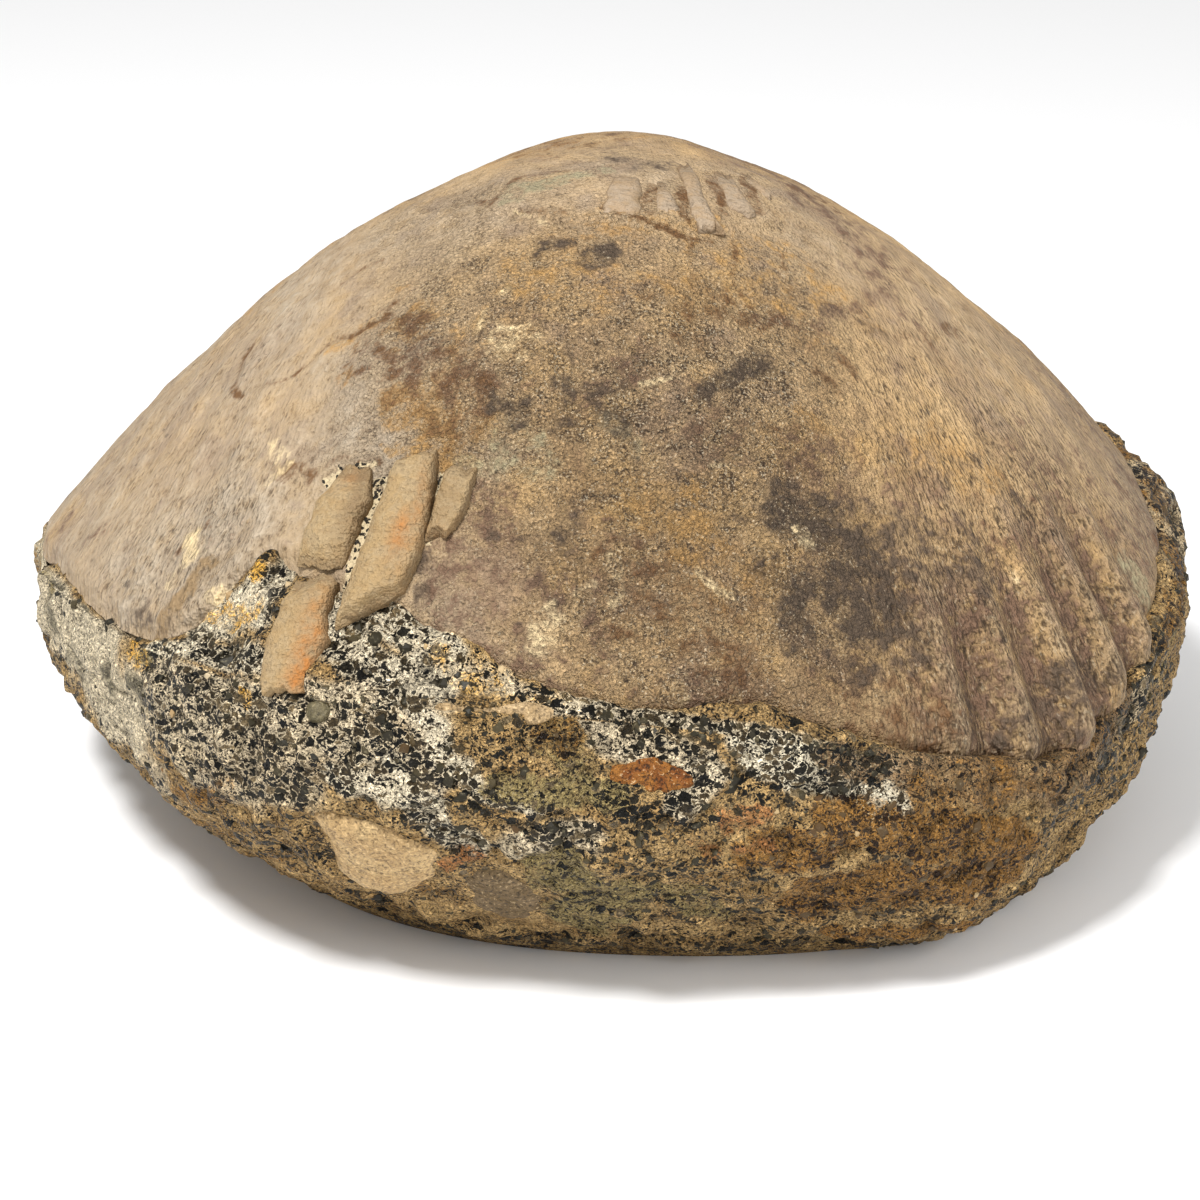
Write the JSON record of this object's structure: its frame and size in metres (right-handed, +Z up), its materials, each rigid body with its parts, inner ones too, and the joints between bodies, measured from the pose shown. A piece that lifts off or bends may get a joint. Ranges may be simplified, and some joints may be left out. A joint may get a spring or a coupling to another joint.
{
  "type": "fossil clam shell",
  "caption": "Fossil clam: a smooth domed stone cast of a ribbed valve, with strips of shell left on it, seated on the gritty pebbly rock it was buried in.",
  "frame": {"origin": "on the ground plane under the middle of the specimen's bounding box", "axes": "+Z up; +X to the right along the clam's length; -Y towards the front, where the shell's lower margin is; the beak and hinge are at +Y"},
  "size_m": [0.1114, 0.0987, 0.061],
  "materials": {
    "cast_stone": "smooth, finely pitted limestone, mottled grey-beige, ochre and brown, matt",
    "gritty_rock": "coarse black, olive and brown sand grains in pale cement, rough and matt",
    "shell": "tan calcite shell with fine growth lines and orange stains, slightly waxy",
    "worn_shell": "worn cream and tan shell, matt",
    "tan_pebble": "smooth tan stone, slightly waxy",
    "grey_pebble": "smooth grey-brown stone, matt",
    "olive_pebble": "smooth olive stone, slightly waxy",
    "orange_chip": "iron-stained orange-brown chip, matt"
  },
  "bodies": {
    "root": {"clam_cast": "cast_stone", "rock_matrix": "gritty_rock", "rib_left_upper": "shell", "rib_left_lower": "shell", "rib_middle": "shell", "rib_right": "shell", "crest_ribs": "worn_shell", "pebble_tan": "tan_pebble", "pebble_grey": "grey_pebble", "pebble_olive": "olive_pebble", "chip_orange": "orange_chip", "shell_sliver": "shell"}
  },
  "joints": []
}
